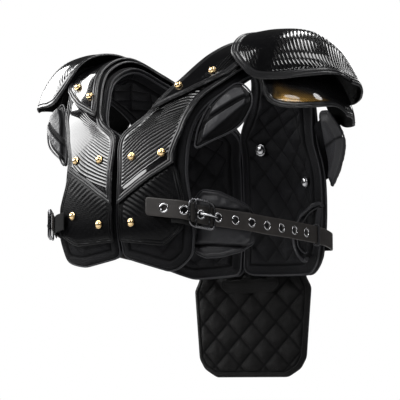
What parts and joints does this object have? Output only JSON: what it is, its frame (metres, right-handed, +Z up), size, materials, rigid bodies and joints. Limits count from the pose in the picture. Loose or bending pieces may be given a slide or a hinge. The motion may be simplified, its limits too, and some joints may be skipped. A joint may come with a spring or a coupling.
{
  "type": "football shoulder pads",
  "caption": "Football shoulder pads: arched chest and back plates over quilted liners, layered shoulder caps, deltoid and rib pads, buckled side belts and a quilted back flap.",
  "frame": {"origin": "middle of the line on which the pads rest on the wearer's two shoulders, level with the neck opening", "axes": "+Z up, the wearer faces -Y, the wearer's left arm is towards +X"},
  "size_m": [0.53, 0.3625, 0.4719],
  "materials": {
    "gloss_shell": "polished black, with fine moulded ridges",
    "dark_shell": "satin black, with a fine woven texture",
    "body_padding": "black quilted nylon over foam",
    "limb_padding": "black coated nylon with piping",
    "quilted_flap": "black quilted nylon",
    "belt_leather": "dark grey, waxed",
    "webbing": "black ribbed webbing",
    "gold_rivet": "polished gold",
    "dark_chrome": "smoked chrome",
    "black_buckle": "black satin"
  },
  "bodies": {
    "root": {"front_pad_left": "body_padding", "back_pad_left": "body_padding", "chest_plate_left": "dark_shell", "arch_plate_left": "gloss_shell", "back_plate_left": "dark_shell", "epaulette_left": "gloss_shell", "cap_left": "gloss_shell", "under_cap_left": "gloss_shell", "deltoid_front_left": "limb_padding", "deltoid_rear_left": "limb_padding", "rib_pad_left": "limb_padding", "belt_left": "belt_leather", "anchor_strap_left": "webbing", "buckle_frame_left": "black_buckle", "buckle_prong_left": "dark_chrome", "belt_keeper_left": "black_buckle", "chest_rivet_upper_inner_left": "gold_rivet", "chest_rivet_upper_outer_left": "gold_rivet", "chest_rivet_lower_inner_left": "gold_rivet", "chest_rivet_lower_outer_left": "gold_rivet", "epaulette_rivet_inner_left": "gold_rivet", "epaulette_rivet_outer_left": "gold_rivet", "epaulette_rivet_rear_left": "gold_rivet", "liner_snap_upper_left": "dark_chrome", "liner_snap_lower_left": "dark_chrome", "flap_strap_left": "webbing", "front_pad_right": "body_padding", "back_pad_right": "body_padding", "chest_plate_right": "dark_shell", "arch_plate_right": "gloss_shell", "back_plate_right": "dark_shell", "epaulette_right": "gloss_shell", "cap_right": "gloss_shell", "under_cap_right": "gloss_shell", "deltoid_front_right": "limb_padding", "deltoid_rear_right": "limb_padding", "rib_pad_right": "limb_padding", "belt_right": "belt_leather", "anchor_strap_right": "webbing", "buckle_frame_right": "black_buckle", "buckle_prong_right": "dark_chrome", "belt_keeper_right": "black_buckle", "chest_rivet_upper_inner_right": "gold_rivet", "chest_rivet_upper_outer_right": "gold_rivet", "chest_rivet_lower_inner_right": "gold_rivet", "chest_rivet_lower_outer_right": "gold_rivet", "epaulette_rivet_inner_right": "gold_rivet", "epaulette_rivet_outer_right": "gold_rivet", "epaulette_rivet_rear_right": "gold_rivet", "flap_strap_right": "webbing", "breast_link": "webbing", "spine_link": "webbing", "back_flap": "quilted_flap", "flap_tab": "quilted_flap"}
  },
  "joints": []
}
